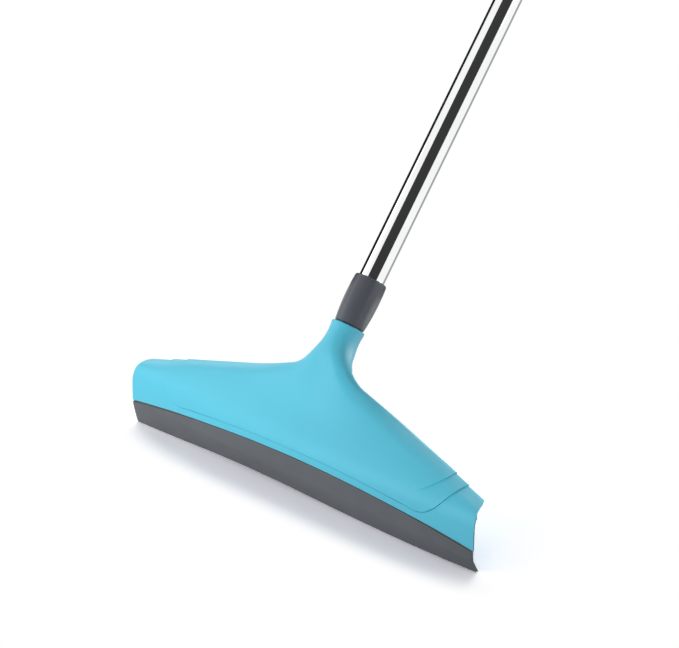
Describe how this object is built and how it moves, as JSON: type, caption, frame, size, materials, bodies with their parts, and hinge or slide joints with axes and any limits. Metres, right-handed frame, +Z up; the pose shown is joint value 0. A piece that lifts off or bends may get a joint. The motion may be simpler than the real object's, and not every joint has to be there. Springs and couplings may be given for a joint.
{
  "type": "floor squeegee",
  "caption": "Wide moulded floor squeegee head with a clamped rubber blade, on a straight chrome handle that screws into its neck, with a soft grip and a hanging eye.",
  "frame": {"origin": "the middle of the blade's wiping face, where it meets the floor", "axes": "+X along the blade, +Y to the back, the way the handle leans, +Z up"},
  "size_m": [0.39, 0.8239, 1.0764],
  "materials": {
    "head_plastic": "satin moulded turquoise polypropylene",
    "blade_rubber": "matt dark grey rubber",
    "collar_plastic": "satin moulded dark grey plastic",
    "tube_chrome": "bright chrome plate",
    "screw_steel": "zinc plated steel",
    "grip_rubber": "matt dark grey soft grip"
  },
  "bodies": {
    "head": {"head_shell": "head_plastic", "blade": "blade_rubber", "blade_clamp": "head_plastic", "clamp_screws": "screw_steel"},
    "washer": {"thread_washer": "collar_plastic"},
    "handle": {"ferrule": "collar_plastic", "handle_tube": "tube_chrome", "hand_grip": "grip_rubber", "hang_cap": "collar_plastic"}
  },
  "joints": [
    {"name": "handle_rise", "type": "slide", "parent": "head", "child": "washer", "axis": [0, 0.6266, 0.7793], "range_m": [0, 0.02]},
    {"name": "handle_unscrew", "type": "hinge", "parent": "washer", "child": "handle", "pos_m": [0, 0.05475, 0.13235], "axis": [0, 0.6266, 0.7793], "range_deg": [0, 1441]}
  ],
  "couplings": [
    {"joint": "handle_unscrew", "follows": "handle_rise", "rad_per_m": 1256.6}
  ]
}
